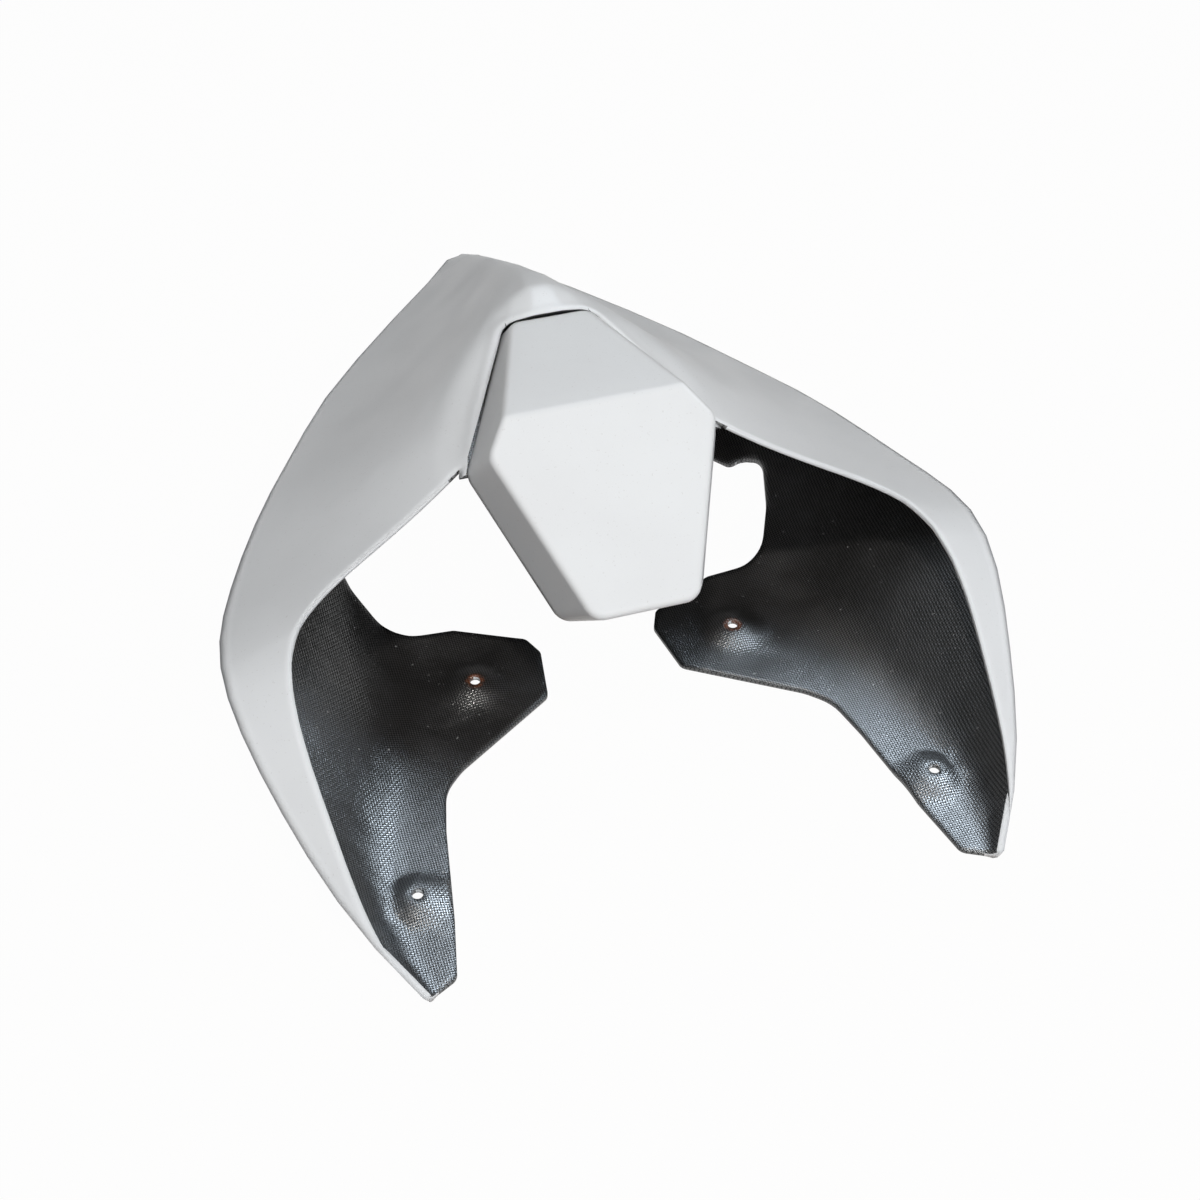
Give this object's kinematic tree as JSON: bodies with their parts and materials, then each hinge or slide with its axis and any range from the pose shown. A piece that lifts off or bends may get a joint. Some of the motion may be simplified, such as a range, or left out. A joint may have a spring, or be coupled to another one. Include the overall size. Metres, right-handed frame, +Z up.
{
  "type": "motorcycle tail fairing",
  "caption": "Motorcycle tail fairing: a white laminate shell with arms that sweep forward, flat drilled plates underneath and a separate faceted centre cover.",
  "frame": {"origin": "on the mirror plane, below the middle of the length, at the height of the flat undersides of the plates", "axes": "+X across, to the right seen from the front; +Y from the arm tips towards the tail end; +Z up from the plates"},
  "size_m": [0.3994, 0.484, 0.1629],
  "materials": {
    "shell_laminate": "white satin gel coat outside, black woven cloth under satin resin inside",
    "cover_laminate": "white satin gel coat"
  },
  "bodies": {
    "root": {"tail_shell": "shell_laminate", "centre_cover": "cover_laminate"}
  },
  "joints": []
}
